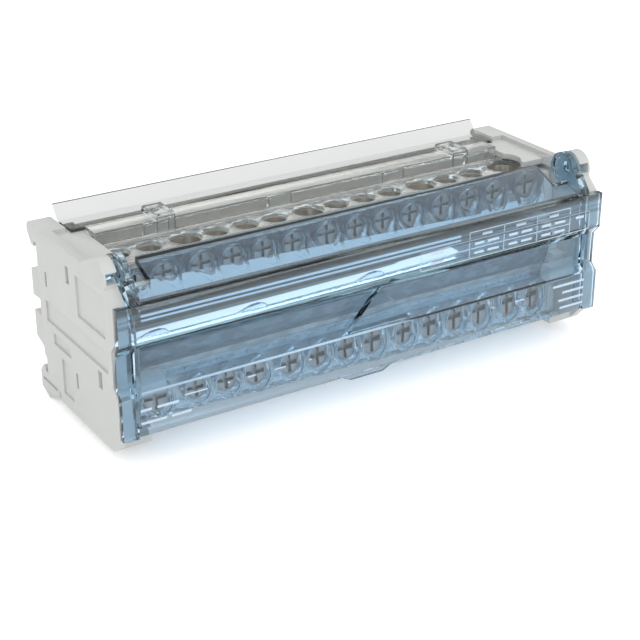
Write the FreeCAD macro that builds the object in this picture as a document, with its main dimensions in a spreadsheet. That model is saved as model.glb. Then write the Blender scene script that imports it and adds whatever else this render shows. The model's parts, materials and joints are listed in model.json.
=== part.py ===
import FreeCAD, Part

import os

import Sketcher

# Modular distribution block: two rows of brass terminals between two rail-mounted end plates,
# behind a hinged tinted cover.
# X runs along the block, +Y points back to the rail, +Z is up.
# The origin is the centre of the rail seat, on the plane that rests on the rail.

# Driving sizes in millimetres
SIZES = {
    # whole block
    "block_length": 142.0,
    "body_front": 42.8,
    "fit_gap": 0.2,
    "swing_gap": 0.4,
    "seat_gap": 0.1,
    # mounting rail
    "rail_width": 35.0,
    "rail_lip": 1.4,
    # end plates
    "claw_height": 4.55,
    "claw_reach": 5.2,
    "claw_tip": 1.1,
    "foot_drop": 4.2,
    "foot_rear": 9.2,
    "toe_height": 4.7,
    "toe_depth": 4.0,
    "plate_wall": 2.4,
    "plate_back": 2.0,
    "web_depth": 2.2,
    "ear_width": 3.4,
    "ear_radius": 4.5,
    "flange_width": 10.0,
    "flange_thick": 1.6,
    "flange_front": 24.0,
    "rim_raise": 1.2,
    "rim_depth": 2.5,
    "rear_block_width": 6.0,
    "rear_block_depth": 5.0,
    "panel_depth": 0.5,
    "tab_inset": 0.8,
    "tab_reach": 6.4,
    "tab_height": 9.5,
    "tab_slope": 2.4,
    "clip_relief": 1.2,
    "latch_width": 13.0,
    "latch_height": 4.8,
    # hinge of the cover
    "pivot_front": 35.4,
    "pivot_drop": 0.05,
    "pin_radius": 1.5,
    "pin_gap": 0.05,
    "pin_inset": 1.0,
    "knuckle_radius": 4.2,
    "knuckle_width": 2.6,
    "knuckle_rim": 1.4,
    # tinted cover
    "cover_thick": 1.8,
    "window_drop": 5.35,
    "window_rise": 0.6,
    "window_rear": 31.0,
    "window_half": 59.3,
    "notch_depth": 6.5,
    "band_one_height": 9.9,
    "band_two_height": 8.0,
    "step_one": 2.35,
    "step_two": 1.8,
    "band_recess": 2.0,
    "cover_raise": 7.3,
    "lip_drop": 2.2,
    "side_wall": 1.2,
    "grip_half": 9.0,
    "grip_drop": 1.5,
    "grip_centre": 3.0,
    "sign_half": 9.2,
    "sign_height": 10.3,
    # bars and terminals
    "bar_depth": 12.0,
    "bar_height": 7.4,
    "bar_seat": 1.4,
    "bar_overlap": 1.6,
    "upper_front": 25.0,
    "lower_front": 31.0,
    "terminal_pitch": 8.4,
    "group_gap": 9.9,
    "inlet_gap": 10.9,
    "inlet_edge": 8.0,
    "small_wire": 6.0,
    "medium_wire": 7.6,
    "large_wire": 8.6,
    "wire_floor": 1.2,
    "small_screw": 4.6,
    "medium_screw": 5.2,
    "large_screw": 6.0,
    "thread_gap": 0.02,
    "head_height": 2.8,
    "head_margin": 0.6,
    "cross_width": 0.9,
    "cross_depth": 1.0,
    # carrier and bar supports
    "carrier_wall": 2.0,
    "carrier_rear": 1.2,
    "end_wall": 1.4,
    "shelf_thick": 1.6,
    "shelf_lip": 1.6,
    "seat_width": 2.4,
    "support_width": 4.2,
    # clear shrouds
    "shroud_wall": 1.0,
    "tube_wall": 0.8,
    "tube_reach": 1.2,
    "tube_gap": 0.4,
    "wire_gap": 0.3,
    "ledge_drop": 3.25,
    "wall_front": 12.3,
    "ledge_rear": 6.6,
    "pillar_half": 3.4,
    "pillar_depth": 0.9,
    "lower_ledge": 2.6,
    "lower_ledge_depth": 4.2,
    "hump_width": 8.6,
    "hump_rise": 1.2,
    # rear screen and hoods
    "screen_thick": 0.8,
    "screen_rise": 3.15,
    "screen_lean": 3.25,
    "screen_bend": 1.8,
    "hood_width": 5.0,
    "hood_depth": 8.6,
    "hood_height": 1.95,
    "hood_wall": 0.7,
    "hood_back": 1.2,
    "left_hood_inset": 28.5,
    "right_hood_inset": 23.9,
    # rail clips
    "clip_rear": 3.2,
    "clip_stem": 3.2,
    "clip_width": 5.0,
    "clip_inset": 0.4,
    "clip_hook": 3.2,
    "clip_foot": 7.2,
}

doc = FreeCAD.newDocument("distribution_block")
sheet = doc.addObject("Spreadsheet::Sheet", "sizes")
for row, (alias, value) in enumerate(SIZES.items(), start=1):
    sheet.set(f"A{row}", alias)
    sheet.set(f"B{row}", str(value))
    sheet.setAlias(f"B{row}", alias)
doc.recompute()


class Size:
    """A length with its number and the sheet expression that gives it."""

    def __init__(self, number, text):
        self.number = float(number)
        self.text = text

    def __add__(self, other):
        return joined(self, "+", other)

    def __radd__(self, other):
        return joined(other, "+", self)

    def __sub__(self, other):
        return joined(self, "-", other)

    def __rsub__(self, other):
        return joined(other, "-", self)

    def __mul__(self, factor):
        return Size(self.number * factor, f"({self.text} * {factor})")

    __rmul__ = __mul__

    def __truediv__(self, divisor):
        return Size(self.number / divisor, f"({self.text} / {divisor})")

    def __neg__(self):
        return Size(-self.number, f"(-1 * {self.text})")


def as_size(value):
    """The value itself if it is a Size, and a fixed Size for a plain number."""
    if isinstance(value, Size):
        return value
    return Size(value, f"({value})")


def joined(first, sign, second):
    """The sum or difference of two lengths."""
    first = as_size(first)
    second = as_size(second)
    number = first.number + second.number if sign == "+" else first.number - second.number
    return Size(number, f"({first.text} {sign} {second.text})")


def size(alias):
    """A driving size from the sheet."""
    return Size(sheet.get(alias), f"sizes.{alias}")


def bind(target, path, value):
    """Tie a property to the sheet expression of a length."""
    target.setExpression(path, as_size(value).text)


def new_body(label):
    """An empty body with its own label, which also names its file."""
    body = doc.addObject("PartDesign::Body", label)
    body.Label = label
    body.AllowCompound = True
    return body


def origin_plane(body, role):
    """One of the body's own origin planes."""
    for feature in body.Origin.OriginFeatures:
        if feature.Role == role:
            return feature
    raise ValueError(f"{body.Label} has no plane {role}")


def disc(across, up, radius):
    """A circle for an outline list."""
    return {"centre": (as_size(across), as_size(up)), "radius": as_size(radius)}


def box_outline(low_u, high_u, low_v, high_v):
    """The four corners of an upright rectangle."""
    return [(low_u, low_v), (high_u, low_v), (high_u, high_v), (low_u, high_v)]


def draw(sketch, outlines):
    """Draw closed polygons and circles, each point and radius tied to the sheet."""
    constraints = []
    ties = []

    def place(geometry, position, point):
        for kind, value in zip(("DistanceX", "DistanceY"), point):
            ties.append((len(constraints), as_size(value)))
            number = as_size(value).number
            constraints.append(Sketcher.Constraint(kind, -1, 1, geometry, position, number))

    for outline in outlines:
        if isinstance(outline, dict):
            centre = outline["centre"]
            middle = FreeCAD.Vector(centre[0].number, centre[1].number, 0)
            upright = FreeCAD.Vector(0, 0, 1)
            geometry = sketch.addGeometry(Part.Circle(middle, upright, outline["radius"].number))
            place(geometry, 3, centre)
            ties.append((len(constraints), outline["radius"]))
            constraints.append(Sketcher.Constraint("Radius", geometry, outline["radius"].number))
            continue
        corners = [(as_size(u), as_size(v)) for u, v in outline]
        points = [FreeCAD.Vector(u.number, v.number, 0) for u, v in corners]
        sides = []
        for index, start in enumerate(points):
            end = points[(index + 1) % len(points)]
            sides.append(sketch.addGeometry(Part.LineSegment(start, end)))
        for index, side in enumerate(sides):
            after = sides[(index + 1) % len(sides)]
            constraints.append(Sketcher.Constraint("Coincident", side, 2, after, 1))
            place(side, 1, corners[index])
    sketch.addConstraint(constraints)
    for index, value in ties:
        bind(sketch, f"Constraints[{index}]", value)


def extrude(body, plane, outlines, low, high, cut=False):
    """Add or cut the outlines between two coordinates along the axis across the plane.

    Outlines are (Y, Z) pairs on the YZ plane, (X, Z) on the XZ plane and (X, Y) on the XY plane.
    """
    sketch = body.newObject("Sketcher::SketchObject", f"{body.Label}_sketch")
    sketch.AttachmentSupport = [(origin_plane(body, plane), "")]
    sketch.MapMode = "FlatFace"
    low = as_size(low)
    high = as_size(high)
    start = -high if plane == "XZ_Plane" else low
    bind(sketch, "AttachmentOffset.Base.z", start)
    draw(sketch, outlines)
    kind = "PartDesign::Pocket" if cut else "PartDesign::Pad"
    feature = body.newObject(kind, f"{body.Label}_{'cut' if cut else 'pad'}")
    feature.Profile = sketch
    feature.Type = "Length"
    feature.Reversed = cut
    bind(feature, "Length", high - low)
    feature.Refine = True
    before = body.Shape.Volume if cut else 0.0
    doc.recompute()
    if cut and body.Shape.Volume > before - 1e-4:
        raise ValueError(f"a cut in {body.Label} removes nothing")
    return feature


def along_x(body, outlines, low, high, cut=False):
    """Add or cut (Y, Z) outlines between two X coordinates."""
    return extrude(body, "YZ_Plane", outlines, low, high, cut)


def along_y(body, outlines, low, high, cut=False):
    """Add or cut (X, Z) outlines between two Y coordinates."""
    return extrude(body, "XZ_Plane", outlines, low, high, cut)


def along_z(body, outlines, low, high, cut=False):
    """Add or cut (X, Y) outlines between two Z coordinates."""
    return extrude(body, "XY_Plane", outlines, low, high, cut)


def span(side, inner, outer):
    """The X range of a feature that lies between two distances from the middle, on one side."""
    if side > 0:
        return as_size(inner), as_size(outer)
    return -as_size(outer), -as_size(inner)


# How far neighbouring shapes of one moulding run into each other
MERGE = 0.2
# How far a cut runs past the surface that it opens
PAST = 1.0
# The plane that rests on the rail
SEAT = Size(0.0, "0.0")

# Places along X, from the middle
half_length = size("block_length") / 2
wall_inner = half_length - size("plate_wall")
ear_inner = half_length - size("ear_width")
flange_inner = half_length - size("flange_width")
block_inner = half_length - size("rear_block_width")
inside_half = wall_inner - size("support_width")
bar_half = inside_half + size("bar_overlap")
arm_outer = ear_inner - size("swing_gap")
arm_inner = arm_outer - size("knuckle_width")

# Places along Z
rail_half = size("rail_width") / 2
top = rail_half + size("claw_height")
bottom = -rail_half - size("foot_drop")
floor_level = top - size("rim_raise")
flange_under = floor_level - size("flange_thick")
deck_top = top - size("ledge_drop")
deck_under = deck_top - size("shroud_wall")
bar_level = deck_under - size("seat_gap") - size("bar_height") / 2
bar_under = bar_level - size("bar_height") / 2
shelf_level = bar_under - size("bar_seat")
pivot_height = top - size("pivot_drop")
cover_top = pivot_height - size("window_drop")
band_one_low = cover_top - size("band_one_height")
band_two_high = band_one_low - size("step_one")
band_two_low = band_two_high - size("band_two_height")
band_three_high = band_two_low - size("step_two")
cover_bottom = bottom + size("cover_raise")
cover_low = cover_bottom - size("lip_drop")

# Places along Y
front = -size("body_front")
pivot = (-size("pivot_front"), pivot_height)
cover_face = front - size("swing_gap") - size("cover_thick")
cover_recess = cover_face + size("band_recess")
strip_spread = size("cover_thick") / 6
plate_spread = strip_spread + size("swing_gap")
bar_front = {"upper": -size("upper_front"), "lower": -size("lower_front")}
stem_front = -size("clip_rear") - size("clip_stem")
ramp_start = -size("flange_front") - size("rim_depth")

# Wire hole and screw radii of each kind of terminal
WIRE = {kind: size(f"{kind}_wire") / 2 for kind in ("small", "medium", "large")}
SCREW = {kind: size(f"{kind}_screw") / 2 for kind in ("small", "medium", "large")}


def level_of(row):
    """Height of the middle of a bar."""
    return bar_level if row == "upper" else -bar_level


def terminal_places():
    """Kinds and X places of the terminals of the upper bar, from the inlet at +X."""
    order = ["small", "small", "medium"]
    cycle = ["small", "small", "small", "medium"]
    places = [("large", bar_half - size("inlet_edge"))]
    place = places[0][1] - size("inlet_gap")
    limit = (size("terminal_pitch") / 2 - bar_half).number
    while place.number > limit:
        count = len(places) - 1
        kind = order[count] if count < len(order) else cycle[(count - len(order)) % len(cycle)]
        places.append((kind, place))
        place = place - (size("group_gap") if kind == "medium" else size("terminal_pitch"))
    return places


TERMINALS = terminal_places()


def terminals_of(kind, row):
    """X places of one kind of terminal, turned end for end on the lower bar."""
    return [place if row == "upper" else -place for found, place in TERMINALS if kind == found]


def group_gaps(row):
    """Middles of the wider gaps between the groups of terminals."""
    middles = []
    for (kind, place), (_, after) in zip(TERMINALS, TERMINALS[1:]):
        if kind != "small":
            middle = (place + after) / 2
            middles.append(middle if row == "upper" else -middle)
    return middles


def stepped_edge(face, spread=0.0):
    """Front line of a side that follows the set-back middle band, from the top down."""
    set_back = face + size("band_recess")
    return [
        (face, band_one_low + spread), (set_back, band_two_high + spread),
        (set_back, band_two_low - spread), (face, band_three_high - spread),
    ]


def stepped_sheet(face, depth, low, high, spread):
    """Section of a sheet that follows the set-back middle band on both faces."""
    rear = face + depth
    return [
        (face, high), *stepped_edge(face, spread), (face, low),
        (rear, low), *reversed(stepped_edge(rear, spread)), (rear, high),
    ]


def plate_outline():
    """Side view of an end plate, from the rail seat over the top and round the front."""
    relief = size("clip_relief")
    radius = size("ear_radius")
    return [
        (SEAT, top),
        (ramp_start, top),
        (pivot[0] + radius * 0.75, pivot[1] + radius * 0.65),
        (pivot[0] - radius * 0.82, pivot[1] - radius * 0.45),
        (front, cover_top),
        *stepped_edge(front, plate_spread),
        (front, bottom + size("toe_height")),
        (front + size("toe_depth"), bottom),
        (-size("foot_rear"), bottom + relief),
        (stem_front - size("swing_gap") * 2, -rail_half - relief),
        (-relief, -rail_half - relief),
        (-relief, tab_foot() - relief),
        (SEAT, tab_foot()),
    ]


def tab_head():
    """Top of the upper tab, a little below the rail's upper lip."""
    return rail_half - size("tab_height") * 0.66


def tab_foot():
    """Foot of the lower tab, a little above the rail's lower lip."""
    return size("tab_height") * 0.58 - rail_half


def tab_outlines():
    """Two tabs that reach into the rail between its lips."""
    reach = size("tab_reach")
    slope = size("tab_slope")
    height = size("tab_height")
    upper_foot = tab_head() - height
    lower_head = tab_foot() + height
    upper = [
        (-MERGE, tab_head()), (SEAT, tab_head()), (reach, tab_head() - slope),
        (reach, upper_foot), (-MERGE, upper_foot),
    ]
    lower = [
        (-MERGE, lower_head), (reach, lower_head), (reach, tab_foot() + slope),
        (SEAT, tab_foot()), (-MERGE, tab_foot()),
    ]
    return [upper, lower]


def claw_outline():
    """Fixed claw that drops behind the upper lip of the rail."""
    lip = size("rail_lip")
    reach = size("claw_reach")
    tip = size("claw_tip")
    return [
        (-size("plate_back"), top),
        (reach - tip, top),
        (reach, top - tip),
        (reach, top - tip * 2.4),
        (lip + tip * 1.5, rail_half - tip),
        (lip, rail_half - tip),
        (lip, rail_half + size("fit_gap")),
        (-size("plate_back"), rail_half + size("fit_gap")),
    ]


# Windows of the side face for the tongues: rear edge, front edge, low and high
WINDOWS = {
    "carrier": [(-4.2, -5.2, bar_level - 6.2, bar_level - 2.3)],
    "support": [
        (-17.3, -19.1, bar_level - 0.5, bar_level + 4.0),
        (-19.4, -20.4, 0.7 - bar_level, 4.8 - bar_level),
        (-32.7, -34.7, 6.7 - bar_level, 11.2 - bar_level),
    ],
}

# Shallow blank panels on the side face
PANELS = [
    [(-22.8, bar_level + 3.5), (-38.3, bar_level + 3.5), (-38.0, bar_level - 7), (-23.0, bar_level - 7)],
    box_outline(-38.4, -3.5, -1.6, 3.9),
    box_outline(-17.0, -7.0, -6.6, -3.6),
    box_outline(-16.9, -11.0, -bar_level - 4.5, 5.1 - bar_level),
]


def window_outlines(owner, gap):
    """Outlines of the windows of one owner, made smaller by a gap all round."""
    outlines = []
    for high_y, low_y, low_z, high_z in WINDOWS[owner]:
        outlines.append(box_outline(low_y + gap, high_y - gap, low_z + gap, high_z - gap))
    return outlines


def make_end_plate(label, side):
    """Grey end plate: side wall with flanges, rail claw and tabs, and the ear of the hinge."""
    body = new_body(label)
    outer = half_length
    radius = size("ear_radius")
    web = size("web_depth")
    along_x(body, [plate_outline()], *span(side, wall_inner, outer))
    ear = disc(pivot[0] + radius * 0.09, pivot[1] - radius * 0.15, radius)
    along_x(body, [ear], *span(side, ear_inner, outer))
    front_web = stepped_sheet(front, web, bottom + size("toe_height"), cover_top, plate_spread)
    ramp_web = [
        (front, cover_top - web), (front + web, cover_top - web),
        (pivot[0] - MERGE * 5, pivot[1] - radius * 0.45),
        (pivot[0] - radius * 0.82, pivot[1] - radius * 0.45), (front, cover_top),
    ]
    for outline in (front_web, ramp_web):
        along_x(body, [outline], *span(side, ear_inner, outer))
    flange = box_outline(-size("flange_front"), SEAT, flange_under, floor_level)
    along_x(body, [flange], *span(side, flange_inner, outer))
    ramp = [
        (-size("flange_front"), flange_under), (ramp_start + size("rim_depth") * 2, floor_level),
        (ramp_start, top), (pivot[0] + radius * 0.75, pivot[1] + radius * 0.65),
        (pivot[0] + radius * 0.75, pivot[1] - radius * 0.65),
    ]
    along_x(body, [ramp], *span(side, ear_inner, outer))
    floor = box_outline(front + size("toe_depth"), -size("foot_rear"), bottom, bottom + size("plate_back"))
    along_x(body, [floor], *span(side, flange_inner, outer))
    rear_block = box_outline(-size("rear_block_depth"), SEAT, floor_level - MERGE, top)
    back = box_outline(-size("plate_back"), SEAT, tab_foot(), floor_level)
    for outline in (rear_block, back, claw_outline()):
        along_x(body, [outline], *span(side, block_inner, outer))
    for tab in tab_outlines():
        along_x(body, [tab], *span(side, block_inner, outer - size("tab_inset")))
    guide_rear = stem_front - size("swing_gap")
    guide = box_outline(guide_rear - size("plate_back"), guide_rear, -rail_half - PAST, -rail_half * 0.5)
    along_x(body, [guide], *span(side, block_inner, outer))
    latch_front = cover_recess + size("cover_thick") + size("swing_gap")
    latch_high = band_two_low + MERGE
    latch_low = latch_high - size("latch_height")
    latch = box_outline(latch_front, front + size("web_depth") * 2.5, latch_low, latch_high)
    along_x(body, [latch], *span(side, half_length - size("latch_width"), outer))
    for owner in WINDOWS:
        along_x(body, window_outlines(owner, 0.0), *span(side, wall_inner - PAST, outer + PAST), cut=True)
    along_x(body, PANELS, *span(side, outer - size("panel_depth"), outer + PAST), cut=True)
    row = "upper" if side > 0 else "lower"
    middle = bar_front[row] + size("bar_depth") / 2
    notch = disc(TERMINALS[0][1] * side, middle, WIRE["large"] + size("wire_gap") + MERGE)
    notch_span = (bottom - PAST, bottom + size("plate_back") + PAST)
    if side > 0:
        notch_span = (flange_under - PAST, top + PAST)
    along_z(body, [notch], *notch_span, cut=True)
    hole = disc(*pivot, size("pin_radius") + size("pin_gap"))
    slot_half = size("pin_radius") - MERGE
    mouth = box_outline(pivot[0] - radius - PAST, pivot[0], pivot[1] - slot_half, pivot[1] + slot_half)
    hole_end = outer - size("pin_inset") + size("swing_gap")
    for outline in (hole, mouth):
        along_x(body, [outline], *span(side, ear_inner - PAST, hole_end), cut=True)
    return body


def clip_outlines():
    """Side view of a rail clip: the stem, and the foot with the hook behind the rail's lower lip."""
    stem_rear = -size("clip_rear")
    lip = size("rail_lip")
    hook = size("clip_hook")
    edge = -rail_half - size("fit_gap")
    foot_top = -rail_half - size("clip_relief") - size("swing_gap")
    foot_low = -rail_half - size("clip_foot")
    stem_top = -rail_half * 0.5
    stem = box_outline(stem_front, stem_rear, foot_top - MERGE, stem_top)
    foot = [
        (stem_front - MERGE, foot_top),
        (-size("clip_relief") + size("swing_gap"), foot_top),
        (-size("clip_relief") + size("swing_gap"), edge),
        (lip, edge),
        (lip, -rail_half + size("claw_tip")),
        (lip + hook * 0.4, -rail_half + size("claw_tip")),
        (lip + hook, edge - MERGE * 4),
        (lip + hook, foot_low + hook * 0.5),
        (SEAT, foot_low),
        (stem_front - MERGE, foot_low + hook),
    ]
    return stem, foot


def make_clip(label, side):
    """Sliding clip that closes behind the lower lip of the rail."""
    body = new_body(label)
    outer = half_length - size("clip_inset")
    inner = outer - size("clip_width")
    stem, foot = clip_outlines()
    along_x(body, [foot], *span(side, inner, outer))
    along_x(body, [stem], *span(side, inner, wall_inner - size("swing_gap")))
    middle = -rail_half - size("clip_foot") * 0.38
    groove = box_outline(stem_front + PAST, size("clip_hook"), middle - MERGE * 2, middle + MERGE * 2)
    along_x(body, [groove], *span(side, outer - size("panel_depth"), outer + PAST), cut=True)
    return body


def cover_outline():
    """Section of the tinted cover: sloping window, three bands and the lower lip."""
    thick = size("cover_thick")
    corner = thick / 2
    blend = thick / 3
    outer = [
        (-size("window_rear"), pivot_height + size("window_rise")),
        (cover_face + corner, cover_top + blend),
        (cover_face + corner, cover_top),
        (cover_face, cover_top),
        (cover_face, band_one_low),
        (cover_recess, band_two_high),
        (cover_recess, band_two_low),
        (cover_face, band_three_high),
        (cover_face, cover_bottom),
        (cover_face + corner, cover_low),
    ]
    inner = [
        (cover_face + thick + corner, cover_low),
        (cover_face + thick, cover_bottom),
        (cover_face + thick, band_three_high - blend),
        (cover_recess + thick, band_two_low - blend),
        (cover_recess + thick, band_two_high + blend),
        (cover_face + thick, band_one_low + blend),
        (cover_face + thick, cover_top - thick * 0.55),
        (-size("window_rear"), pivot_height + size("window_rise") - thick),
    ]
    return outer + inner


def make_cover():
    """Tinted cover in one moulding with its hinge arms, pins, end strips, triangular boss and grip."""
    body = new_body("front_cover")
    thick = size("cover_thick")
    radius = size("knuckle_radius")
    inner_face = cover_face + thick
    along_x(body, [cover_outline()], -arm_outer, arm_outer)
    strip = stepped_sheet(cover_face, thick, cover_low, cover_top, strip_spread)
    side_wall = box_outline(cover_face, cover_recess + thick, cover_bottom, cover_top - thick * 0.55)
    arm = [
        (pivot[0] - radius * 0.86, pivot[1] + radius * 0.5),
        (cover_face + thick / 2, cover_top + thick / 3),
        (inner_face, cover_top - thick * 1.6),
        (inner_face + thick, cover_top - thick * 0.55),
        (pivot[0] + radius * 0.86, pivot[1] - radius * 0.5),
    ]
    knuckle = disc(*pivot, radius)
    recess = disc(*pivot, radius - size("knuckle_rim"))
    pin = disc(*pivot, size("pin_radius"))
    window_end = -size("window_rear") + PAST
    for side in (-1, 1):
        along_x(body, [strip], *span(side, arm_outer - MERGE, half_length))
        along_x(body, [side_wall], *span(side, arm_outer - size("side_wall"), arm_outer))
        along_x(body, [arm], *span(side, arm_inner, arm_outer))
        along_x(body, [knuckle], *span(side, arm_inner, arm_outer))
        along_x(body, [recess], *span(side, arm_inner - PAST, arm_inner + thick / 2), cut=True)
        near, far = span(side, size("window_half"), arm_inner)
        slot = box_outline(near, far, cover_face + size("notch_depth"), window_end)
        along_z(body, [slot], cover_top - thick / 3, pivot_height + PAST, cut=True)
        along_x(body, [pin], *span(side, arm_outer - MERGE, half_length - size("pin_inset")))
    low = band_two_low - thick / 2
    high = low + size("sign_height")
    sign = [(-size("sign_half"), low), (size("sign_half"), low), (SEAT, high)]
    along_y(body, [sign], cover_face + MERGE, cover_recess + MERGE * 2)
    left = -size("grip_centre") - size("grip_half")
    right = left + size("grip_half") * 2
    shoulder = size("grip_half") * 0.45
    root = cover_low + thick / 3
    grip_low = cover_low - size("grip_drop")
    grip = [(left, root), (left + shoulder, grip_low), (right - shoulder, grip_low), (right, root)]
    along_y(body, [grip], cover_face + thick * 0.72, cover_face + thick * 1.45)
    return body


def make_screen():
    """Clear screen behind the block: a flat foot and a leaning blade."""
    body = new_body("rear_screen")
    half = block_inner - size("swing_gap") * 2
    thick = size("screen_thick")
    foot_front = -size("ledge_rear") + size("fit_gap")
    foot_under = floor_level + size("seat_gap")
    foot_top = foot_under + thick
    bend = size("screen_bend")
    tip = (bend + size("screen_lean"), foot_top + size("screen_rise"))
    outline = [
        (foot_front, foot_under),
        (bend, foot_under),
        tip,
        (tip[0] - thick * 1.1, tip[1] + thick * 0.25),
        (bend - thick * 0.7, foot_top),
        (foot_front, foot_top),
    ]
    along_x(body, [outline], -half, half)
    return body


def make_carrier():
    """Insulating carrier between the end plates, with shelves for both bars and its tongues."""
    body = new_body("carrier")
    half = inside_half
    wall_half = half - size("end_wall") + MERGE
    raised_half = flange_inner - size("swing_gap")
    rear = -size("carrier_rear")
    wall_face = rear - size("carrier_wall")
    root = wall_face + MERGE
    gap = size("seat_gap")
    thick = size("shelf_thick")
    wall_low = bottom + size("plate_back") + size("swing_gap")
    wall_high = flange_under - size("fit_gap")
    along_x(body, [box_outline(wall_face, rear, wall_low, wall_high)], -wall_half, wall_half)
    raised = box_outline(wall_face, rear, wall_high - PAST, floor_level - gap)
    along_x(body, [raised], -raised_half, raised_half)
    upper_lip = bar_front["upper"] - size("shelf_lip")
    lower_lip = bar_front["lower"] - size("shelf_lip")
    middle_lip = bar_front["lower"] + size("shelf_lip")
    shelves = [
        (upper_lip, shelf_level - thick, shelf_level),
        (middle_lip, -thick / 2, thick / 2),
        (lower_lip, -shelf_level, thick - shelf_level),
    ]
    for shelf_front, low, high in shelves:
        along_x(body, [box_outline(shelf_front, root, low, high)], -wall_half, wall_half)
    end = [
        (rear, gap - deck_under), (lower_lip, gap - deck_under), (lower_lip, thick - shelf_level),
        (upper_lip, thick - shelf_level), (upper_lip, deck_under - gap), (rear, deck_under - gap),
    ]
    for side in (-1, 1):
        along_x(body, [end], *span(side, half - size("end_wall"), half))
        tongue_end = half_length - size("panel_depth") * 2
        along_x(body, window_outlines("carrier", size("fit_gap")), *span(side, half - MERGE, tongue_end))
    rest_front = -size("ledge_rear") - size("shelf_lip")
    rest = box_outline(rest_front, root, floor_level - gap - size("shroud_wall"), floor_level - gap)
    along_x(body, [rest], -raised_half, raised_half)
    fit = size("fit_gap")
    for row, row_front in bar_front.items():
        middle = level_of(row)
        reach = size("bar_height") / 2 + fit
        row_rear = row_front + size("bar_depth")
        opening = box_outline(row_front - fit, row_rear + fit, middle - reach, middle + reach)
        for side in (-1, 1):
            along_x(body, [opening], *span(side, half - size("end_wall") - MERGE, half + PAST), cut=True)
    for row, row_front in bar_front.items():
        low, high = shelf_level - MERGE, bar_under
        if row == "lower":
            low, high = -high, -low
        half_seat = size("seat_width") / 2
        seats = [box_outline(place - half_seat, place + half_seat, low, high) for place in group_gaps(row)]
        along_y(body, seats, row_front, row_front + size("bar_depth"))
    return body


def shroud_face(row):
    """Front plane of a shroud, just ahead of the screw heads."""
    return bar_front[row] - size("head_height") - size("tube_gap")


def cut_terminals(body, row, low_z, high_z):
    """Guide tubes ahead of the screws and wire entries through the deck of a shroud."""
    face = shroud_face(row)
    tube_front = face - size("tube_reach")
    bore = {kind: radius + size("head_margin") + size("tube_gap") for kind, radius in SCREW.items()}
    for kind, radius in bore.items():
        tubes = [disc(place, level_of(row), radius + size("tube_wall")) for place in terminals_of(kind, row)]
        along_y(body, tubes, tube_front, face + MERGE)
    for kind, radius in bore.items():
        bores = [disc(place, level_of(row), radius) for place in terminals_of(kind, row)]
        along_y(body, bores, tube_front - PAST, face + size("shroud_wall") + PAST, cut=True)
    middle = bar_front[row] + size("bar_depth") / 2
    for kind, radius in WIRE.items():
        entries = [disc(place, middle, radius + size("wire_gap")) for place in terminals_of(kind, row)]
        along_z(body, entries, low_z - MERGE, high_z + MERGE, cut=True)


def make_upper_shroud():
    """Clear moulding over the upper bar with its deck, the wall behind it and the ledge."""
    body = new_body("upper_shroud")
    half = inside_half - size("seat_gap")
    wall = size("shroud_wall")
    face = shroud_face("upper")
    wall_front = -size("wall_front")
    wall_rear = wall_front + wall
    low = shelf_level - size("shelf_thick") + MERGE
    along_x(body, [box_outline(face, wall_rear, deck_under, deck_top)], -half, half)
    along_x(body, [box_outline(face, face + wall, low, deck_top)], -half, half)
    rise = flange_inner - size("swing_gap")
    along_x(body, [box_outline(wall_front, wall_rear, deck_under, top)], -rise, rise)
    along_x(body, [box_outline(wall_rear - MERGE, -size("ledge_rear"), top - wall, top)], -rise, rise)
    rib_front = wall_front - size("pillar_depth") * 3
    rib = box_outline(rib_front, rib_front + wall / 2, deck_top - MERGE, deck_top + wall)
    along_x(body, [rib], -rise, rise)
    reach = size("pillar_half")
    pillars = []
    for place in group_gaps("upper"):
        pillars.append(box_outline(place - reach, place + reach, deck_top - MERGE, top))
    along_y(body, pillars, wall_front - size("pillar_depth"), wall_front + MERGE)
    cut_terminals(body, "upper", deck_under, top)
    return body


def make_lower_shroud():
    """Clear moulding over the lower bar with a deck below it and a stepped ledge above it."""
    body = new_body("lower_shroud")
    half = inside_half - size("seat_gap")
    wall = size("shroud_wall")
    face = shroud_face("lower")
    deck_rear = -size("wall_front") - size("lower_ledge_depth")
    step_low = size("shelf_thick") - shelf_level + size("seat_gap")
    step = bar_front["lower"] - size("tube_gap") - size("fit_gap")
    ledge = size("lower_ledge")
    along_x(body, [box_outline(face, deck_rear, -deck_top, -deck_under)], -half, half)
    along_x(body, [box_outline(face, face + wall, -deck_top, step_low + wall)], -half, half)
    along_x(body, [box_outline(face, step + wall, step_low, step_low + wall)], -half, half)
    along_x(body, [box_outline(step, step + wall, step_low, ledge)], -half, half)
    along_x(body, [box_outline(step, step + size("lower_ledge_depth"), ledge - wall, ledge)], -half, half)
    rise = size("hump_rise")
    width = size("hump_width")
    foot = ledge - MERGE
    humps = []
    for right in group_gaps("lower"):
        left = right - width
        humps.append([
            (left, foot), (right, foot),
            (right, ledge + rise * 0.6), (right - width * 0.2, ledge + rise),
            (right - width * 0.45, ledge + rise * 0.9), (left + width * 0.2, ledge + rise * 0.3),
            (left, ledge),
        ])
    along_y(body, humps, step, step + wall)
    cut_terminals(body, "lower", -deck_top, -deck_under)
    return body


def make_bar(row):
    """Brass bar with an upright wire hole and a front screw hole at each terminal."""
    body = new_body(f"{row}_bar")
    level = level_of(row)
    low = level - size("bar_height") / 2
    high = level + size("bar_height") / 2
    row_front = bar_front[row]
    middle = row_front + size("bar_depth") / 2
    along_z(body, [box_outline(-bar_half, bar_half, row_front, row_front + size("bar_depth"))], low, high)
    mouth = (low + size("wire_floor"), high + PAST)
    if row == "lower":
        mouth = (low - PAST, high - size("wire_floor"))
    for kind, radius in WIRE.items():
        along_z(body, [disc(place, middle, radius) for place in terminals_of(kind, row)], *mouth, cut=True)
    for kind, radius in SCREW.items():
        holes = [disc(place, level, radius) for place in terminals_of(kind, row)]
        along_y(body, holes, row_front - PAST, middle, cut=True)
    return body


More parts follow.
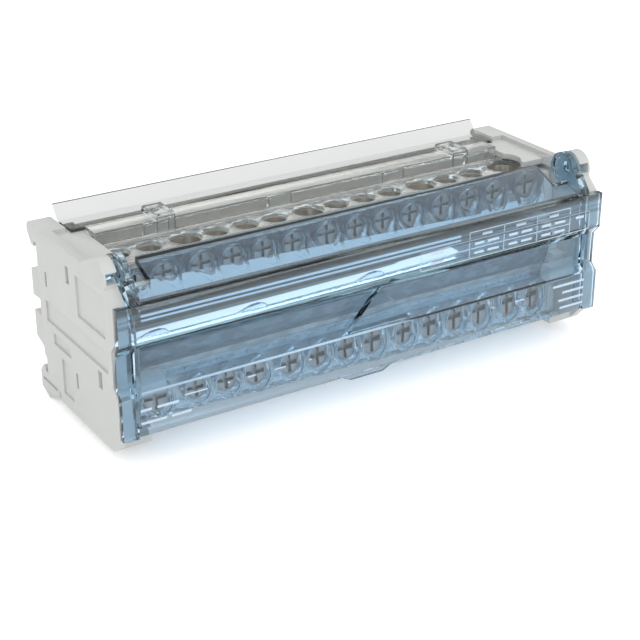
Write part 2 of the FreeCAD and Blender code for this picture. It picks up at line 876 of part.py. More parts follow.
def make_screws(kind, row):
    """Clamping screws of one size on one bar, with crossed recesses."""
    body = new_body(f"{row}_{kind}_screws")
    radius = SCREW[kind]
    row_front = bar_front[row]
    level = level_of(row)
    places = terminals_of(kind, row)
    head = row_front - size("head_height")
    tip = row_front + size("bar_depth") / 2 - WIRE[kind] - size("fit_gap")
    shanks = [disc(place, level, radius - size("thread_gap")) for place in places]
    along_y(body, shanks, row_front - MERGE, tip)
    heads = [disc(place, level, radius + size("head_margin")) for place in places]
    along_y(body, heads, head, row_front)
    half = size("cross_width") / 2
    across = [box_outline(place - radius, place + radius, level - half, level + half) for place in places]
    upright = [box_outline(place - half, place + half, level - radius, level + radius) for place in places]
    for outlines in (across, upright):
        along_y(body, outlines, head - PAST, head + size("cross_depth"), cut=True)
    return body


def make_support(label, side):
    """Insulating block inside an end plate that carries the ends of both bars."""
    body = new_body(label)
    gap = size("seat_gap")
    inner = inside_half + size("fit_gap")
    outer = wall_inner - gap
    margin = size("bar_seat")
    ledge = margin + MERGE * 3
    rear = bar_front["upper"] + size("bar_depth") + margin * 2.5
    upper_face = bar_front["upper"] - margin
    lower_face = bar_front["lower"] - margin
    block = [
        (rear, -deck_top), (lower_face, -deck_top), (lower_face, ledge - bar_under),
        (upper_face, bar_under - ledge), (upper_face, deck_under), (rear, deck_under),
    ]
    along_x(body, [block], *span(side, inner, outer))
    for row, row_front in bar_front.items():
        reach = size("bar_height") / 2 + gap / 2
        middle = level_of(row)
        row_rear = row_front + size("bar_depth")
        pocket = box_outline(row_front - gap, row_rear + gap, middle - reach, middle + reach)
        along_x(body, [pocket], *span(side, inner - PAST, bar_half + gap), cut=True)
    tongues = window_outlines("support", size("fit_gap"))
    front_tongue = tongues[-1]
    arm = box_outline(front_tongue[0][0], lower_face + margin, front_tongue[0][1], front_tongue[2][1])
    along_x(body, [arm], *span(side, inner, outer))
    tongue_end = half_length - size("panel_depth") * 2
    along_x(body, tongues, *span(side, outer - MERGE, tongue_end))
    return body


def make_hood(label, side, place):
    """Small clear hood clipped over the ledge behind the wire entries."""
    body = new_body(label)
    wall = size("hood_wall")
    rear = -size("ledge_rear") + size("hood_back")
    hood_front = rear - size("hood_depth")
    roof = top + size("hood_height")
    gap = size("seat_gap")
    x_low, x_high = span(side, place - size("hood_width") / 2, place + size("hood_width") / 2)
    outline = [
        (rear, top + gap), (rear, roof - wall), (rear - wall, roof), (hood_front + wall, roof),
        (hood_front, roof - wall), (hood_front, deck_top + gap), (hood_front + wall, deck_top + gap),
        (hood_front + wall, top + gap),
    ]
    along_x(body, [outline], x_low, x_high)
    hollow = box_outline(hood_front + wall + MERGE, rear - wall, top - PAST, roof - wall)
    along_x(body, [hollow], x_low + wall, x_high - wall, cut=True)
    return body


def build_all():
    """Make every sub-part and return the bodies in order."""
    bodies = []
    for name, side in (("left", -1), ("right", 1)):
        bodies.append(make_end_plate(f"end_plate_{name}", side))
        bodies.append(make_clip(f"rail_clip_{name}", side))
        bodies.append(make_support(f"bar_support_{name}", side))
        bodies.append(make_hood(f"hood_{name}", side, half_length - size(f"{name}_hood_inset")))
    bodies.extend([make_cover(), make_screen(), make_carrier(), make_upper_shroud(), make_lower_shroud()])
    for row in bar_front:
        bodies.append(make_bar(row))
        for kind in SCREW:
            bodies.append(make_screws(kind, row))
    return bodies


def check_and_write(bodies):
    """Check every object and write each sub-part to its own file."""
    doc.recompute()
    for item in doc.Objects:
        if "Invalid" in item.State or "Error" in item.State:
            raise RuntimeError(f"{item.Label} failed: {item.State}")
    os.makedirs("parts", exist_ok=True)
    for body in bodies:
        shape = body.Shape
        if shape.isNull() or not shape.isValid():
            raise RuntimeError(f"{body.Label} has no valid shape")
        shape.exportStep(f"parts/{body.Label}.step")
        print(body.Label, len(shape.Solids), round(shape.Volume, 1))


check_and_write(build_all())
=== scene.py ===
import json
import math

import bmesh
import bpy
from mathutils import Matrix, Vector

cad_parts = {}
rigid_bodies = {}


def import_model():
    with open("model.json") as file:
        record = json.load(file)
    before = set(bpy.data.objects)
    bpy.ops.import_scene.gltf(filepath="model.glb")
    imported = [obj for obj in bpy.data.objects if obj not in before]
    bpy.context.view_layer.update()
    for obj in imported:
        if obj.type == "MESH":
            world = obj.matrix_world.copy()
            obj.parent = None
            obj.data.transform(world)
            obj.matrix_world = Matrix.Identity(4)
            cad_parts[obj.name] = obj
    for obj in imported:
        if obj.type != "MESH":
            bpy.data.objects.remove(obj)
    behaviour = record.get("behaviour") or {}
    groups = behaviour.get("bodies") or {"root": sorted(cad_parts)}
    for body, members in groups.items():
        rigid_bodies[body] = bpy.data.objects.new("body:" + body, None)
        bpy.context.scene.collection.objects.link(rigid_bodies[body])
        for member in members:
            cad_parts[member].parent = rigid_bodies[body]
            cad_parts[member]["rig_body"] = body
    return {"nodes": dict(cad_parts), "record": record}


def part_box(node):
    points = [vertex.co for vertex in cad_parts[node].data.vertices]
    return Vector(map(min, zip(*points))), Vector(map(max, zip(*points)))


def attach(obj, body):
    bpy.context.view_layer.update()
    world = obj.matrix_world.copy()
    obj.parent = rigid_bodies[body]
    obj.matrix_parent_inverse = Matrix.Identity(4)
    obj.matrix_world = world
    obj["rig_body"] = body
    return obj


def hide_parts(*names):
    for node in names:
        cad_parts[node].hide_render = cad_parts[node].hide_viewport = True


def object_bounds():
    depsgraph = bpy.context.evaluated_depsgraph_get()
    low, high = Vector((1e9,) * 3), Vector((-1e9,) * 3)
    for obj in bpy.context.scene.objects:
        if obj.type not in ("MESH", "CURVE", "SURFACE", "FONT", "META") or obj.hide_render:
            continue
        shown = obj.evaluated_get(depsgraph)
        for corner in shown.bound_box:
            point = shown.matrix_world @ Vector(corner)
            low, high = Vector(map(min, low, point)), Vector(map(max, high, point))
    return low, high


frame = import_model()

bl_info = {
    "name": "Modular distribution block",
    "version": (1, 0, 0),
    "blender": (4, 5, 0),
    "location": "3D View > Sidebar > Block",
    "description": "Dresses the packed distribution block with moulded, tinted and metal finishes",
    "category": "Object",
}

# Places and sizes read from the frame, in metres
CAD_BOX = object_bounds()
MM = 0.001
COVER_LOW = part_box("front_cover")[0]
FLOOR_LEVEL = CAD_BOX[0].z

# Nodes that are dressed alike
GREY_PIECES = ("end_plate_left", "end_plate_right")
CLIP_PIECES = ("rail_clip_left", "rail_clip_right")
INNER_PIECES = ("carrier", "bar_support_left", "bar_support_right")
BAR_PIECES = ("upper_bar", "lower_bar")
SCREW_PIECES = tuple(
    f"{row}_{kind}_screws" for row in ("upper", "lower") for kind in ("small", "medium", "large")
)

# Rounded copies: weld in metres, steepest fold of a flat face and flattest edge that is rounded
WELD_DISTANCE = 1e-6
FLAT_FOLD = math.radians(1.0)
ROUNDED_FOLD = math.radians(32.0)

# Every place and size from here down to the print is in millimetres.
# Painted shade on the cover's front face by height: a dark corner under the window and dark stripes at
# the steps below it
CORNER_SHADE_COLOUR = (0.16, 0.145, 0.135)
CORNER_REAR = -43.4
SHADE_FOOT, SHADE_HEAD = 11.6, 17.1
SHADES = (
    (11.6, 0.0), (11.9, 0.7), (12.6, 0.55), (12.8, 0.0), (13.3, 0.0), (13.5, 0.6), (13.9, 0.0),
    (14.5, 0.0), (14.8, 0.4), (15.3, 0.85), (16.0, 1.0),
)

# Painted shade on the guide tubes and the deck's wall behind the window, by depth and height
TUBE_SHADE_COLOUR = (0.24, 0.30, 0.36)
TUBE_FRONT, TUBE_LEVEL = -28.3, 11.0
DECK_FRONT, WALL_LEVEL = -27.1, 12.8
TUBE_CONTRAST, TUBE_CLEARING = 1.9, 0.1

# Thickness of the thin boxes and width of the dark edges, which are painted shade
FILM = 0.05
EDGE = 0.17

# Corners of a box by number, face by face
BOX_FACES = ((0, 1, 3, 2), (4, 6, 7, 5), (0, 4, 5, 1), (2, 3, 7, 6), (0, 2, 6, 4), (1, 5, 7, 3))

# Painted shade as dark edges of the upper shroud, the hoods and the screen
POSTS = ((-48.25, -41.45), (-13.15, -6.35), (21.95, 28.75), (49.15, 55.95))
POST_FACE, WALL_FACE, WALL_HALF = -13.2, -12.3, 60.6
DECK_LEVEL, WALL_TOP = 18.8, 22.05
DECK_EDGES = (-27.2, -26.0, -24.6, -14.3, -13.5)
HOODS = {"hood_left": (-45.0, -40.0), "hood_right": (44.6, 49.6)}
HOOD_FACE, HOOD_FRONT, HOOD_REAR = -14.0, -13.3, -6.1
HOOD_FOOT, HOOD_SHOULDER, HOOD_TOP = 18.9, 23.3, 24.0
SCREEN_EDGE, SCREEN_TOP, SCREEN_HALF = 4.2, 25.1, 64.2

# Pale faces and ribs on the shrouds and inside the cover: the ledge's top, the strips and the cover's
# ribs glow as painted light, the ledge's front and the shroud's ribs carry painted shadows
LEDGE_FRONT, LEDGE_REAR, LEDGE_RIGHT = -30.6, -27.4, 34.0
LEDGE_LEVEL, LEDGE_FOOT, LEDGE_WALL = 2.6, -5.6, 1.0
SHROUD_REAR, SHROUD_HEAD, SHROUD_FOOT = -33.15, -5.3, -9.3
ENTRY_FRONT, LOWER_DECK = -29.9, -17.8
STRIP_FRONT, STRIP_FOOT, STRIP_HEAD = -27.15, 7.7, 10.4
RIB_FRONT, RIB_LEFT, RIB_RIGHT = -43.15, -64.5, 25.0
RIB_LEVELS = ((12.2, 12.7), (13.25, 13.85))

# Print on the cover: the table's frame, its plain dashes and the lines around the lower screws
PRINT_FRONT = COVER_LOW.y / MM + 0.03
TABLE_COLUMNS = (11.8, 27.0, 38.1, 49.0, 60.2, 67.0)
TABLE_LEVELS = (7.3, 10.0, 12.3, 14.5)
CELL_MARGIN, LEFT_OF_CENTRE, RIGHT_OF_CENTRE = 1.6, 0.9, 0.3
FIRST_DASH, LAST_MARGIN = (3.0, 7.0), 2.0
DASH_LEVEL = -8.4
DASHES = (
    (-55.0, -49.0), (-43.6, -42.9), (-38.2, -35.8), (-30.7, -27.6), (-21.0, -20.2), (35.5, 36.2),
    (43.0, 46.1),
)
CORNER_LINES = (
    (-9.5, ((-66.4, -63.6), (-62.2, -56.6))),
    (-12.8, ((-66.4, -59.8), (-58.6, -53.4))),
    (-7.5, ((56.0, 66.8),)),
    (-9.7, ((59.4, 66.8),)),
    (-11.9, ((58.2, 66.8),)),
    (-14.1, ((58.8, 66.8),)),
)

# Widths of a bold and a plain dash, in printed lines
BOLD, PLAIN = 3, 1.6

# Clear mouldings: share of white in the shrouds, and bending of light in thick walls and thin sheets
MILK = 0.08
WALL_BENDING, SHEET_BENDING = 1.49, 1.12

# Share of the tint that one face shows, its darkest drift, added clearness inside a wall, and the
# shares of red light inside and of lamp light at a face that pass
FACE_SHARE = 0.8
DRIFT_SHARE = 0.96
INNER_GAIN = 0.12
RED_SHARE, LAMP_SHARE = 0.98, 0.98

# Sockets of a Mix node that is set to colours
MIX_FIRST, MIX_SECOND, MIX_RESULT = 6, 7, 2

# Black and white of the painted shadows of the ribs, and tones of the surround by height
SHADOW_MARK_STOPS = ((0.42, (0.0, 0.0, 0.0)), (0.58, (1.0, 1.0, 1.0)))
SKY_STOPS = ((0.05, (0.32, 0.33, 0.34)), (0.55, (1.0, 1.0, 1.0)))

# Stage, in metres: each lamp's width and place, the gap under the block and the camera's nearest view
LAMPS = {
    "key": (0.7, (-0.5, -0.5, 0.75)),
    "fill": (0.9, (0.7, -0.45, 0.4)),
    "front": (0.6, (-0.1, -0.9, 0.12)),
}
FLOOR_GAP = 0.0002
NEAREST_VIEW = 0.01

# Width of the camera's sensor in millimetres
SENSOR_WIDTH = 36.0


class Value:
    """A number socket that can be written into sums, products and comparisons."""

    def __init__(self, finish, socket):
        self.finish = finish
        self.socket = socket

    def combined(self, operation, first, second):
        node = self.finish.node("ShaderNodeMath", {"operation": operation}, {0: first, 1: second})
        return Value(self.finish, node.outputs[0])

    def __add__(self, other):
        return self.combined("ADD", self, other)

    __radd__ = __add__

    def __sub__(self, other):
        return self.combined("SUBTRACT", self, other)

    def __rsub__(self, other):
        return self.combined("SUBTRACT", other, self)

    def __mul__(self, other):
        return self.combined("MULTIPLY", self, other)

    __rmul__ = __mul__

    def __gt__(self, other):
        return self.combined("GREATER_THAN", self, other)

    def __lt__(self, other):
        return self.combined("LESS_THAN", self, other)


class Shading:
    """The nodes of one material or of the surround."""

    def __init__(self, owner):
        owner.use_nodes = True
        self.tree = owner.node_tree
        self.tree.nodes.clear()

    def node(self, kind, settings, inputs):
        """A node with its settings made first, then the values or links of its sockets."""
        made = self.tree.nodes.new(kind)
        for key, setting in settings.items():
            if key == "stops":
                self.set_stops(made.color_ramp, setting)
            else:
                setattr(made, key, setting)
        for key, value in inputs.items():
            self.feed(made.inputs[key], value)
        return made

    def set_stops(self, ramp, stops):
        """Places and colours of a colour ramp."""
        (first_place, first_colour), *others = stops
        ramp.elements.remove(ramp.elements[-1])
        ramp.elements[0].position = first_place
        ramp.elements[0].color = (*first_colour, 1.0)
        for place, colour in others:
            ramp.elements.new(place).color = (*colour, 1.0)

    def feed(self, target, value):
        """Link a socket, or set it to a plain value."""
        if isinstance(value, Value):
            value = value.socket
        if isinstance(value, bpy.types.NodeSocket):
            self.tree.links.new(value, target)
        elif target.type == "RGBA" and len(value) == 3:
            target.default_value = (*value, 1.0)
        else:
            target.default_value = value


class Finish(Shading):
    """A material under construction, with its surface shader ready."""

    def __init__(self, name, constants):
        self.material = bpy.data.materials.new(name)
        super().__init__(self.material)
        self.surface = self.node("ShaderNodeBsdfPrincipled", {}, constants)
        self.output = self.node("ShaderNodeOutputMaterial", {}, {"Surface": self.surface.outputs[0]})

    def place(self):
        """Position on the piece, in metres."""
        return self.node("ShaderNodeTexCoord", {}, {}).outputs["Object"]

    def depth_and_height(self):
        """The position's Y and Z."""
        parts = self.node("ShaderNodeSeparateXYZ", {}, {0: self.place()})
        return Value(self, parts.outputs["Y"]), Value(self, parts.outputs["Z"])

    def pattern(self, place, cells, detail):
        """Soft noise from 0 to 1 over the given places."""
        inputs = {"Vector": place, "Scale": cells, "Detail": detail}
        return Value(self, self.node("ShaderNodeTexNoise", {}, inputs).outputs[0])

    def noise(self, cells, detail):
        """Soft noise with the given number of cells in a metre."""
        return self.pattern(self.place(), cells, detail)

    def streaks(self, cells, detail):
        """Soft noise with its own number of cells in a metre along each axis."""
        stretched = self.node("ShaderNodeMapping", {}, {"Vector": self.place(), "Scale": cells})
        return self.pattern(stretched.outputs[0], 1.0, detail)

    def painted_corner_shade(self):
        """Painted shade from 0 to 1 by height over the top millimetres of the cover's front face."""
        depth, height = self.depth_and_height()
        span = SHADE_HEAD - SHADE_FOOT
        rise = (height - SHADE_FOOT * MM) * (1.0 / (span * MM))
        stops = [((level - SHADE_FOOT) / span, (dark, dark, dark)) for level, dark in SHADES]
        shade_bands = self.node("ShaderNodeValToRGB", {"stops": stops}, {0: rise})
        return Value(self, shade_bands.outputs[0]) * (depth < CORNER_REAR * MM)

    def painted_tube_shade(self):
        """Painted shade, above 0 on the guide tubes of the upper row, which look dark behind the
        window.
        """
        depth, height = self.depth_and_height()
        tubes = (depth < TUBE_FRONT * MM) * (height > TUBE_LEVEL * MM)
        wall = (depth < DECK_FRONT * MM) * (height > WALL_LEVEL * MM)
        shade_mottle = TUBE_CONTRAST * self.noise(cells=750.0, detail=3.0) - TUBE_CLEARING
        return (tubes + wall) * shade_mottle

    def mixed(self, factor, first, second):
        """A colour between two others."""
        inputs = {0: factor, MIX_FIRST: first, MIX_SECOND: second}
        return self.node("ShaderNodeMix", {"data_type": "RGBA"}, inputs).outputs[MIX_RESULT]

    def paint(self, colour):
        """Give the surface its base colour."""
        self.feed(self.surface.inputs["Base Color"], colour)

    def varied(self, pattern, colour, dark, light=1.0):
        """Let a pattern take the base colour from a darker to a lighter form."""
        self.paint(self.mixed(pattern, shade(colour, dark), shade(colour, light)))

    def rubbed(self, pattern, smooth, span):
        """Let a pattern raise the roughness from its smoothest value."""
        self.feed(self.surface.inputs["Roughness"], smooth + span * pattern)

    def bumped(self, height, depth, strength):
        """Let a pattern raise the surface, by a depth in metres where it is 1."""
        inputs = {"Height": height, "Distance": depth, "Strength": strength}
        bump = self.node("ShaderNodeBump", {}, inputs)
        self.feed(self.surface.inputs["Normal"], bump.outputs[0])

    def absorb(self, tint, wall):
        """Fill the moulding so that a wall of the given thickness lets the tint through."""
        losses = [-math.log(channel) / wall for channel in tint]
        density = max(losses)
        colour = tuple(1.0 - loss / density for loss in losses)
        fill = self.node("ShaderNodeVolumeAbsorption", {}, {"Color": colour, "Density": density})
        self.feed(self.output.inputs["Volume"], fill.outputs[0])

    def let_lamps_in(self, tint):
        """Lamps reach what lies behind the moulding, tinted once at each face."""
        film = self.node("ShaderNodeBsdfTransparent", {}, {"Color": tint})
        path = self.node("ShaderNodeLightPath", {}, {})
        inputs = {0: path.outputs["Is Shadow Ray"], 1: self.surface.outputs[0], 2: film.outputs[0]}
        mix = self.node("ShaderNodeMixShader", {}, inputs)
        self.feed(self.output.inputs["Surface"], mix.outputs[0])


def shade(colour, factor):
    """A colour made lighter or darker."""
    return tuple(min(1.0, channel * factor) for channel in colour)


def moulded_grey(name, colour):
    """Opaque moulded plastic: fine spark-eroded grain with slow colour drift."""
    finish = Finish(name, {"IOR": 1.5})
    finish.varied(finish.noise(cells=60.0, detail=3.0), colour, dark=0.95, light=1.04)
    grain = finish.noise(cells=5200.0, detail=2.0)
    finish.rubbed(grain, smooth=0.42, span=0.16)
    finish.bumped(grain, depth=0.00004, strength=0.5)
    return finish.material


def clear_moulding(name, tint, bending=WALL_BENDING, milk=0.0, mask=None, masked=None):
    """Transparent moulding in its tint, with painted shade in a second colour where the shade mask is
    above 0.
    """
    settings = bpy.context.scene.block_finishes
    film = tuple(channel ** FACE_SHARE for channel in tint)
    finish = Finish(name, {"IOR": bending, "Transmission Weight": 1.0 - milk})
    flow = finish.noise(cells=45.0, detail=2.0)
    colour = finish.mixed(flow, shade(film, DRIFT_SHARE), film)
    # Painted shade: the mask darkens the tint towards the second colour
    if mask:
        colour = finish.mixed(mask(finish), colour, masked)
    finish.paint(colour)
    finish.rubbed(finish.noise(cells=900.0, detail=4.0), smooth=settings.clear_roughness, span=0.02)
    if milk:
        ripple = finish.noise(cells=420.0, detail=2.0)
        finish.bumped(flow + ripple, depth=0.0005, strength=0.4)
    else:
        finish.bumped(flow, depth=0.0004, strength=0.25)
    inside = min(1.0, sum(tint) / 3.0 + INNER_GAIN)
    finish.absorb((inside * RED_SHARE, inside, inside), settings.wall * MM)
    finish.let_lamps_in(shade(film, LAMP_SHARE))
    return finish.material


def rib_shadowed_moulding(name, colour):
    """Pale moulding with painted shadows: the dark marks that the clear ribs ahead of it throw."""
    finish = Finish(name, {"IOR": 1.49})
    shadow_marks = finish.streaks(cells=(220.0, 600.0, 700.0), detail=3.0)
    ramp = finish.node("ShaderNodeValToRGB", {"stops": SHADOW_MARK_STOPS}, {0: shadow_marks})
    finish.varied(ramp.outputs[0], colour, dark=0.68)
    finish.rubbed(shadow_marks, smooth=0.3, span=0.1)
    return finish.material


def painted_light_face(name, colour, painted_glow=0.25):
    """Smooth pale face that glows a little as painted light, standing for the light it catches through
    the cover.
    """
    finish = Finish(name, {"IOR": 1.49, "Emission Color": colour, "Emission Strength": painted_glow})
    drift = finish.noise(cells=90.0, detail=2.0)
    finish.varied(drift, colour, dark=0.94)
    finish.rubbed(drift, smooth=0.25, span=0.1)
    return finish.material


def drawn_brass(name, colour):
    """Dull brass with drawing lines along the bar."""
    finish = Finish(name, {"Metallic": 1.0})
    streak = finish.streaks(cells=(60.0, 3000.0, 3000.0), detail=2.0)
    finish.varied(finish.noise(cells=250.0, detail=3.0), colour, dark=0.82, light=1.08)
    finish.rubbed(streak, smooth=0.28, span=0.18)
    finish.bumped(streak, depth=0.00002, strength=0.6)
    return finish.material


def plated_steel(name, colour):
    """Dull zinc-plated screw with darker and lighter stains."""
    finish = Finish(name, {"Metallic": 1.0})
    stain = finish.noise(cells=700.0, detail=3.0)
    finish.varied(stain, colour, dark=0.75, light=1.15)
    finish.rubbed(stain, smooth=0.34, span=0.14)
    finish.bumped(stain, depth=0.00003, strength=0.5)
    return finish.material


def printed_white(name, colour):
    """White pad print with thin and full patches of ink."""
    finish = Finish(name, {"IOR": 1.5})
    ink = finish.noise(cells=2500.0, detail=3.0)
    finish.varied(ink, colour, dark=0.93)
    finish.rubbed(ink, smooth=0.5, span=0.1)
    finish.bumped(ink, depth=0.00001, strength=0.4)
    return finish.material


def pale_ground(name, colour):
    """Plain pale floor, lit a little from below as a light table is."""
    finish = Finish(name, {"IOR": 1.45, "Emission Color": colour, "Emission Strength": 0.25})
    drift = finish.noise(cells=3.0, detail=2.0)
    finish.varied(drift, colour, dark=0.99)
    finish.rubbed(drift, smooth=0.6, span=0.1)
    return finish.material


# How each colour of BlockFinishes is made into a material
MAKERS = {
    "grey_plastic": (moulded_grey, {}),
    "inner_plastic": (moulded_grey, {}),
    # The cover's mask and second colour paint shade on its front face
    "tinted_plastic": (clear_moulding, {"mask": Finish.painted_corner_shade, "masked": CORNER_SHADE_COLOUR}),
    "pale_plastic": (clear_moulding, {"milk": MILK}),
    # The upper shroud's mask and second colour paint shade on its tubes and wall
    "shroud_plastic": (
        clear_moulding, {"milk": MILK, "mask": Finish.painted_tube_shade, "masked": TUBE_SHADE_COLOUR}),
    "clear_plastic": (clear_moulding, {"bending": SHEET_BENDING}),
    "hood_plastic": (clear_moulding, {"bending": SHEET_BENDING}),
    "brass": (drawn_brass, {}),
    "screw_steel": (plated_steel, {}),
    "print_white": (printed_white, {}),
    "ledge_top": (painted_light_face, {"painted_glow": 0.6}),
    "ledge_front": (rib_shadowed_moulding, {}),
    "shroud_ribs": (rib_shadowed_moulding, {}),
    "pale_rib": (painted_light_face, {}),
    "edge_line": (moulded_grey, {}),
    "ground": (pale_ground, {}),
}


def finish_named(name):
    """The material of one finish, made the first time it is asked for."""
    title = f"{name}_finish"
    if title in bpy.data.materials:
        return bpy.data.materials[title]
    maker, options = MAKERS[name]
    return maker(title, tuple(getattr(bpy.context.scene.block_finishes, name)), **options)


def slot_of_node(node):
    """The record's material slot of a node."""
    for entry in frame["record"]["subparts"]:
        if entry["node"] == node:
            return entry["material_slot"]
    raise ValueError(f"the record has no slot for {node}")


def hand_over(piece, finish, node):
    """Give a piece its finish and the body of the node that it belongs to; the node's slot is looked
    up but not given.
    """
    body, slot = frame["nodes"][node]["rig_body"], slot_of_node(node)
    piece.data.materials.clear()
    piece.data.materials.append(finish_named(finish))
    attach(piece, body)


def linked_piece(name, shape):
    """A new object in the scene with the form of a bmesh."""
    mesh = bpy.data.meshes.new(f"{name}_form")
    shape.to_mesh(mesh)
    shape.free()
    piece = bpy.data.objects.new(name, mesh)
    bpy.context.scene.collection.objects.link(piece)
    return piece


def settle(piece):
    """Turn a piece's modifiers into its mesh."""
    graph = bpy.context.evaluated_depsgraph_get()
    mesh = bpy.data.meshes.new_from_object(piece.evaluated_get(graph))
    piece.modifiers.clear()
    piece.data = mesh


def rounded_copy(node, width):
    """A new piece with a node's form, its flat faces whole again and its edges rounded."""
    shape = bmesh.new()
    shape.from_mesh(frame["nodes"][node].data)
    bmesh.ops.remove_doubles(shape, verts=shape.verts, dist=WELD_DISTANCE)
    bmesh.ops.dissolve_limit(shape, angle_limit=FLAT_FOLD, verts=shape.verts, edges=shape.edges)
    for face in shape.faces:
        face.smooth = True
    piece = linked_piece(f"{node}_piece", shape)
    edge = piece.modifiers.new("edges", "BEVEL")
    edge.width = width * MM
    edge.segments = bpy.context.scene.block_edges.segments
    edge.limit_method = "ANGLE"
    edge.angle_limit = ROUNDED_FOLD
    edge.harden_normals = True
    edge.use_clamp_overlap = True
    settle(piece)
    return piece


def dress(nodes, finish, width):
    """Replace nodes with rounded copies in one finish."""
    for node in nodes:
        piece = rounded_copy(node, width)
        hand_over(piece, finish, node)
        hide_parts(node)


def lay(name, spans, finish, node):
    """Add a piece of plain boxes to a node, each box given by its ends along X, Y and Z."""
    shape = bmesh.new()
    for across_x, across_y, across_z in spans:
        corners = [(x * MM, y * MM, z * MM) for x in across_x for y in across_y for z in across_z]
        points = [shape.verts.new(corner) for corner in corners]
        for face in BOX_FACES:
            shape.faces.new([points[index] for index in face])
    bmesh.ops.recalc_face_normals(shape, faces=shape.faces)
    hand_over(linked_piece(name, shape), finish, node)


def shroud_edge_shades():
    """Painted shade as dark edges of the upper shroud's wall, posts and deck."""
    front = (WALL_FACE - FILM, WALL_FACE)
    post_front = (POST_FACE - FILM, POST_FACE)
    whole = (-WALL_HALF, WALL_HALF)
    head = (WALL_TOP - EDGE, WALL_TOP)
    lines = [(whole, front, head), (whole, front, (DECK_LEVEL, DECK_LEVEL + EDGE))]
    for left, right in POSTS:
        lines.append(((left, right), post_front, head))
        for place in (left, right - EDGE):
            lines.append(((place, place + EDGE), post_front, (DECK_LEVEL, WALL_TOP)))
    for depth in DECK_EDGES:
        lines.append((whole, (depth, depth + EDGE), (DECK_LEVEL, DECK_LEVEL + FILM)))
    return lines


def hood_edge_shades(left, right):
    """Painted shade as dark edges along the front and the top of a hood."""
    front = (HOOD_FACE, HOOD_FACE + EDGE)
    top = (HOOD_TOP - FILM, HOOD_TOP)
    lines = [((left, right), front, (HOOD_SHOULDER - EDGE, HOOD_SHOULDER))]
    for depth in (HOOD_FRONT, HOOD_REAR - EDGE):
        lines.append(((left, right), (depth, depth + EDGE), top))
    for place in (left, right - EDGE):
        width = (place, place + EDGE)
        lines.append((width, front, (HOOD_FOOT, HOOD_SHOULDER)))
        lines.append((width, (HOOD_FRONT, HOOD_REAR), top))
    return lines


def across(left, right, height, width):
    """One level stroke."""
    return (left, right, height - width / 2, height + width / 2)


def upright(place, low, high, width):
    """One upright stroke."""
    return (place - width / 2, place + width / 2, low - width / 2, high + width / 2)


def table_strokes(width):
    """Frame, dividers and plain dashes of the table on the upper band."""
    first, *columns, last = TABLE_COLUMNS
    low, middle, head, high = TABLE_LEVELS
    upper_cell, lower_cell = (middle + head) / 2, (low + middle) / 2
    rows = [across(first, last, low, width), across(first, columns[-1], middle, width)]
    rows += [across(first, last, head, width), across(columns[0], columns[-1], high, width)]
    rows += [upright(place, low, head, width) for place in (first, last)]
    rows += [upright(place, low, high, width) for place in columns]
    dashes = []
    for near, far in zip(columns, columns[1:]):
        centre = (near + far) / 2
        dashes.append((centre - CELL_MARGIN, centre + CELL_MARGIN, (head + high) / 2))
        for level in (upper_cell, lower_cell):
            dashes.append((near + CELL_MARGIN, centre - LEFT_OF_CENTRE, level))
            dashes.append((centre + RIGHT_OF_CENTRE, far - CELL_MARGIN, level))
    for level in (upper_cell, lower_cell):
        dashes.append((*(first + end for end in FIRST_DASH), level))
    dashes.append((columns[-1] + LAST_MARGIN, last - LAST_MARGIN, upper_cell))
    return rows + [across(*dash, width * BOLD) for dash in dashes]


def label_strokes(width):
    """Plain dashes beside the lower screws and in the two lower corners."""
    rows = [across(left, right, DASH_LEVEL, width * PLAIN) for left, right in DASHES]
    for level, ends in CORNER_LINES:
        rows += [across(left, right, level, width * BOLD) for left, right in ends]
    return rows


def area_light(name, power, size, place):
    """A soft square light aimed at the block."""
    light = bpy.data.lights.new(name, "AREA")
    light.energy = power
    light.size = size
    lamp = bpy.data.objects.new(name, light)
    lamp.location = place
    lamp.rotation_euler = (-Vector(place)).to_track_quat("-Z", "Y").to_euler()
    bpy.context.scene.collection.objects.link(lamp)


